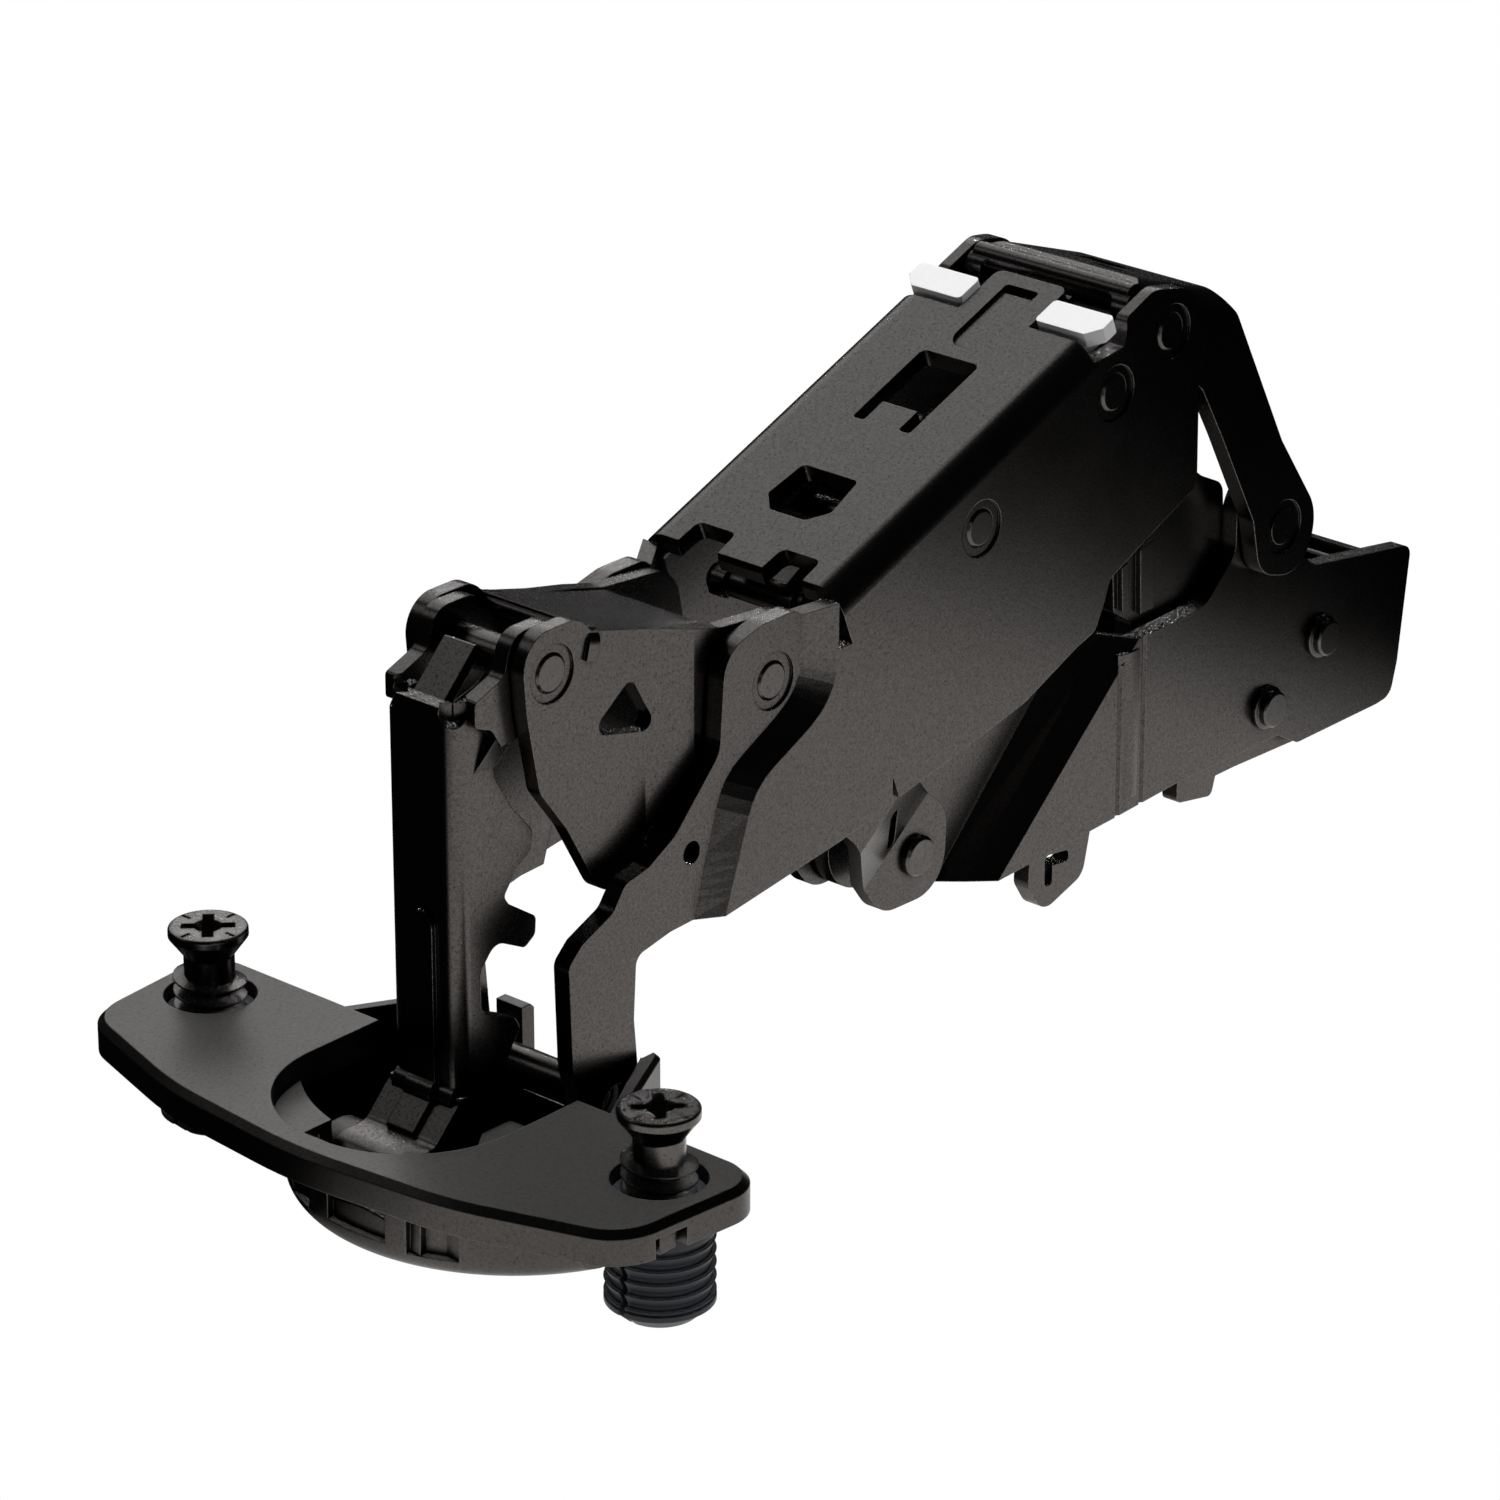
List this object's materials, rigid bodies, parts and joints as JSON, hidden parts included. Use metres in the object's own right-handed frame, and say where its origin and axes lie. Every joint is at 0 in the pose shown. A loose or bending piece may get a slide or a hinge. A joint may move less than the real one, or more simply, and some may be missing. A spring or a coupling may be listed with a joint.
{
  "type": "concealed hinge",
  "caption": "Wide-angle concealed cabinet hinge: dowelled cup flange, folding black steel levers, white glide pads and a clip-on base arm, shown half open.",
  "frame": {"origin": "axis of the 35 mm door bore on the door face that the flange lies on", "axes": "+Z out of the door face, +X towards the base arm and the cabinet side, +Y along the pins"},
  "size_m": [0.1236, 0.0558, 0.0552],
  "materials": {
    "black_sheet_steel": "black coated, fine grain",
    "black_cast_cup": "black coated casting, satin",
    "black_pin_steel": "black coated, satin",
    "black_screw_steel": "blackened",
    "spring_wire": "oiled black",
    "grey_dowel_plastic": "matte",
    "white_glide_plastic": "satin"
  },
  "bodies": {
    "cup": {"hinge_cup": "black_cast_cup", "cup_front_pin": "black_pin_steel", "cup_rear_pin": "black_pin_steel", "dowel_left": "grey_dowel_plastic", "dowel_right": "grey_dowel_plastic", "flange_screw_left": "black_screw_steel", "flange_screw_right": "black_screw_steel"},
    "front_lever": {"front_lever": "black_sheet_steel"},
    "crossing_lever": {"crossing_lever": "black_sheet_steel", "front_pivot_pin": "black_pin_steel", "nose_pin": "black_pin_steel"},
    "long_lever": {"long_lever": "black_sheet_steel", "crossing_pin": "black_pin_steel", "spring_pin": "black_pin_steel", "guide_pin": "black_pin_steel", "link_pin": "black_pin_steel", "pressure_lever": "black_sheet_steel", "spring_rod": "black_pin_steel", "closing_spring_left": "spring_wire", "closing_spring_right": "spring_wire", "glide_pad_left": "white_glide_plastic", "glide_pad_right": "white_glide_plastic"},
    "rear_link": {"rear_link": "black_sheet_steel", "link_stub_left": "black_pin_steel", "link_stub_right": "black_pin_steel"},
    "base": {"base_arm": "black_sheet_steel", "base_channel": "black_sheet_steel", "base_rivet_rear": "black_pin_steel", "base_rivet_front": "black_pin_steel", "stop_tab": "black_sheet_steel", "release_clip": "black_sheet_steel"}
  },
  "joints": [
    {"name": "front_lever_fold", "type": "hinge", "parent": "cup", "child": "front_lever", "pos_m": [-0.0135, 0, -0.0033], "axis": [0, -1, 0], "range_deg": [-47.77, 66.15]},
    {"name": "crossing_fold", "type": "hinge", "parent": "front_lever", "child": "crossing_lever", "pos_m": [-0.0021, 0, 0.0338], "axis": [0, -1, 0], "range_deg": [-35.51, 25.66]},
    {"name": "long_lever_fold", "type": "hinge", "parent": "crossing_lever", "child": "long_lever", "pos_m": [0.0187, 0, 0.0274], "axis": [0, -1, 0], "range_deg": [-37.68, 52.16]},
    {"name": "base_fold", "type": "hinge", "parent": "crossing_lever", "child": "base", "pos_m": [0.0397, 0, 0.0053], "axis": [0, -1, 0], "range_deg": [-42.88, 59.36]},
    {"name": "rear_link_fold", "type": "hinge", "parent": "long_lever", "child": "rear_link", "pos_m": [0.063, 0, 0.0428], "axis": [0, -1, 0], "range_deg": [-56.66, 40.93]}
  ],
  "couplings": [
    {"joint": "crossing_fold", "follows": "front_lever_fold", "ratio": -0.53605},
    {"joint": "long_lever_fold", "follows": "front_lever_fold", "ratio": 0.78776},
    {"joint": "base_fold", "follows": "front_lever_fold", "ratio": 0.8966},
    {"joint": "rear_link_fold", "follows": "front_lever_fold", "ratio": -0.85578}
  ]
}
